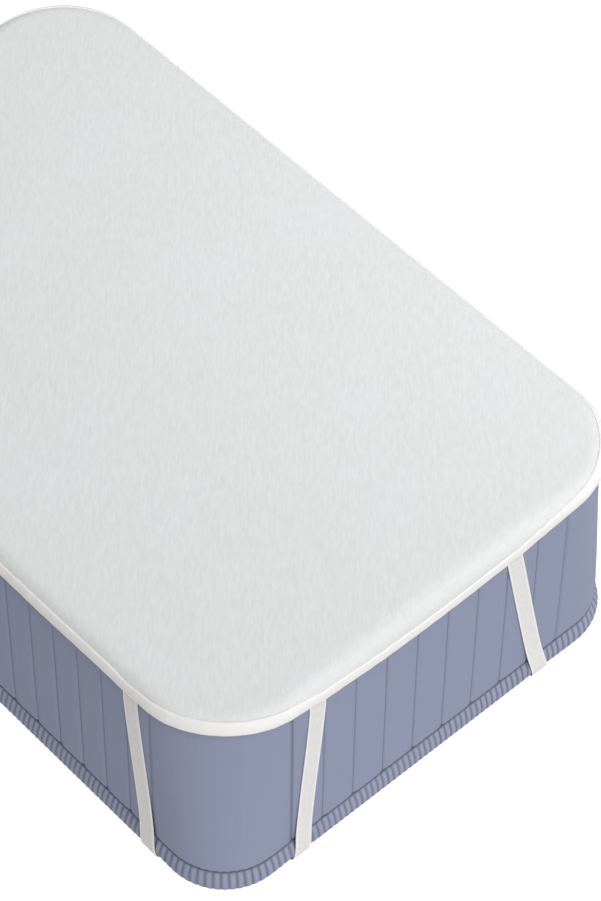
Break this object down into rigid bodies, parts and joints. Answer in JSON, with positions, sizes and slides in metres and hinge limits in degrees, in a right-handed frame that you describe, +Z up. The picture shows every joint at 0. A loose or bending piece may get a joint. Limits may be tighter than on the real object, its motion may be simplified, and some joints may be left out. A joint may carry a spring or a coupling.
{
  "type": "crib mattress protector on its crib mattress",
  "caption": "Brushed mattress pad with a bound edge, held on a plain channelled crib mattress by an elastic strap under each corner.",
  "frame": {"origin": "middle of the underside, on the surface that the mattress lies on", "axes": "+Z up, +Y along the length of the mattress, +X across its width"},
  "size_m": [0.6164, 0.9565, 0.3003],
  "materials": {
    "ticking": "plain close-woven mattress cover, matt grey-blue",
    "ribbed_band": "gathered ribbed band of the same cover, matt grey-blue",
    "brushed_cotton": "white brushed cotton with a short soft nap",
    "binding_tape": "off-white folded edge tape",
    "elastic": "off-white flat woven elastic"
  },
  "bodies": {
    "root": {"mattress": "ticking", "mattress_ribbed_band": "ribbed_band", "protector_pad": "brushed_cotton", "protector_binding": "binding_tape", "corner_strap_front_left": "elastic", "corner_strap_front_right": "elastic", "corner_strap_back_left": "elastic", "corner_strap_back_right": "elastic"}
  },
  "joints": []
}
